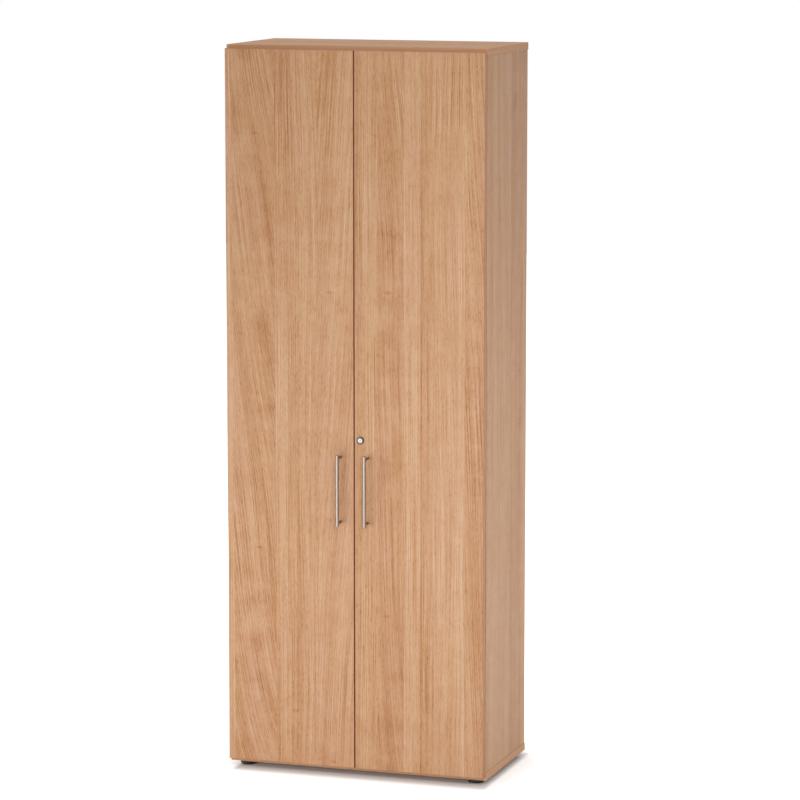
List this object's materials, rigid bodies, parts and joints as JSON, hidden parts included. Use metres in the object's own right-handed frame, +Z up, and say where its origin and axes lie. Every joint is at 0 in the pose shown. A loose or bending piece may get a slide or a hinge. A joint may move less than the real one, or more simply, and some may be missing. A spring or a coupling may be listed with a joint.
{
  "type": "office cabinet",
  "caption": "Tall two-door office cabinet in wood-decor board with bar handles, a cylinder lock with turning rod, shelves on pins and levelling feet.",
  "frame": {"origin": "centre of the whole outline, handles included, at floor level", "axes": "+Z up, -Y towards the front where the doors are, +X to the right seen from the front"},
  "size_m": [0.8, 0.455, 2.156],
  "materials": {
    "door_board": "satin wood-decor board, grain upright",
    "side_board": "satin wood-decor board, grain upright",
    "panel_board": "satin wood-decor board, grain along the width",
    "inner_board": "satin wood-decor board",
    "dowel_wood": "bare fluted beech",
    "handle_steel": "brushed",
    "lock_chrome": "polished",
    "hinge_steel": "nickel plated",
    "fitting_zinc": "bright zinc",
    "screw_steel": "zinc plated",
    "guide_plastic": "moulded",
    "cap_plastic": "moulded",
    "bumper_rubber": "soft, clear",
    "foot_plastic": "moulded"
  },
  "bodies": {
    "carcass": {"top_panel": "panel_board", "bottom_panel": "panel_board", "left_side_panel": "side_board", "right_side_panel": "side_board", "back_panel": "inner_board", "fixed_middle_shelf": "inner_board", "lowest_shelf": "inner_board", "lower_shelf": "inner_board", "upper_shelf": "inner_board", "highest_shelf": "inner_board", "dowels": "dowel_wood", "cam_bolts": "fitting_zinc", "cam_discs": "fitting_zinc", "shelf_pins": "screw_steel", "foot_sockets": "fitting_zinc", "foot_caps": "cap_plastic", "strike_plates": "fitting_zinc", "strike_pins": "screw_steel", "strike_screws": "screw_steel", "left_hinge_arms": "hinge_steel", "left_hinge_arm_screws": "screw_steel", "left_hinge_plates": "hinge_steel", "left_hinge_plate_screws": "screw_steel", "right_hinge_arms": "hinge_steel", "right_hinge_arm_screws": "screw_steel", "right_hinge_plates": "hinge_steel", "right_hinge_plate_screws": "screw_steel"},
    "left_door": {"left_door": "door_board", "left_hinge_cups": "hinge_steel", "left_hinge_cup_screws": "screw_steel", "left_hinge_pins": "screw_steel", "left_handle_bar": "handle_steel", "left_handle_posts": "handle_steel", "left_handle_screws": "screw_steel", "left_door_bumpers": "bumper_rubber"},
    "right_door": {"right_door": "door_board", "right_hinge_cups": "hinge_steel", "right_hinge_cup_screws": "screw_steel", "right_hinge_pins": "screw_steel", "right_handle_bar": "handle_steel", "right_handle_posts": "handle_steel", "right_handle_screws": "screw_steel", "right_door_bumpers": "bumper_rubber", "lock_cylinder": "lock_chrome", "lock_case": "fitting_zinc", "lock_case_screws": "screw_steel", "rod_guides": "guide_plastic", "rod_guide_screws": "screw_steel"},
    "lock_plug": {"lock_plug": "lock_chrome"},
    "locking_rod": {"locking_rod": "screw_steel", "rod_hooks": "fitting_zinc"},
    "front_left_foot": {"front_left_foot_pad": "foot_plastic", "front_left_foot_spindle": "screw_steel"},
    "front_right_foot": {"front_right_foot_pad": "foot_plastic", "front_right_foot_spindle": "screw_steel"},
    "rear_left_foot": {"rear_left_foot_pad": "foot_plastic", "rear_left_foot_spindle": "screw_steel"},
    "rear_right_foot": {"rear_right_foot_pad": "foot_plastic", "rear_right_foot_spindle": "screw_steel"}
  },
  "joints": [
    {"name": "left_door_swing", "type": "hinge", "parent": "carcass", "child": "left_door", "pos_m": [-0.389, -0.183, 1.0855], "axis": [0, 0, -1], "range_deg": [0, 100]},
    {"name": "right_door_swing", "type": "hinge", "parent": "carcass", "child": "right_door", "pos_m": [0.389, -0.183, 1.0855], "axis": [0, 0, 1], "range_deg": [0, 100]},
    {"name": "locking_rod_turn", "type": "hinge", "parent": "right_door", "child": "locking_rod", "pos_m": [0.033, -0.1615, 1.01], "axis": [0, 0, 1], "range_deg": [0, 90]},
    {"name": "lock_plug_turn", "type": "hinge", "parent": "right_door", "child": "lock_plug", "pos_m": [0.02, -0.1825, 1.01], "axis": [0, 1, 0], "range_deg": [0, 180]},
    {"name": "front_left_foot_screw", "type": "slide", "parent": "carcass", "child": "front_left_foot", "axis": [0, 0, 1], "range_m": [-0.012, 0]},
    {"name": "front_right_foot_screw", "type": "slide", "parent": "carcass", "child": "front_right_foot", "axis": [0, 0, 1], "range_m": [-0.012, 0]},
    {"name": "rear_left_foot_screw", "type": "slide", "parent": "carcass", "child": "rear_left_foot", "axis": [0, 0, 1], "range_m": [-0.012, 0]},
    {"name": "rear_right_foot_screw", "type": "slide", "parent": "carcass", "child": "rear_right_foot", "axis": [0, 0, 1], "range_m": [-0.012, 0]}
  ],
  "couplings": [
    {"joint": "lock_plug_turn", "follows": "locking_rod_turn", "ratio": 2}
  ]
}
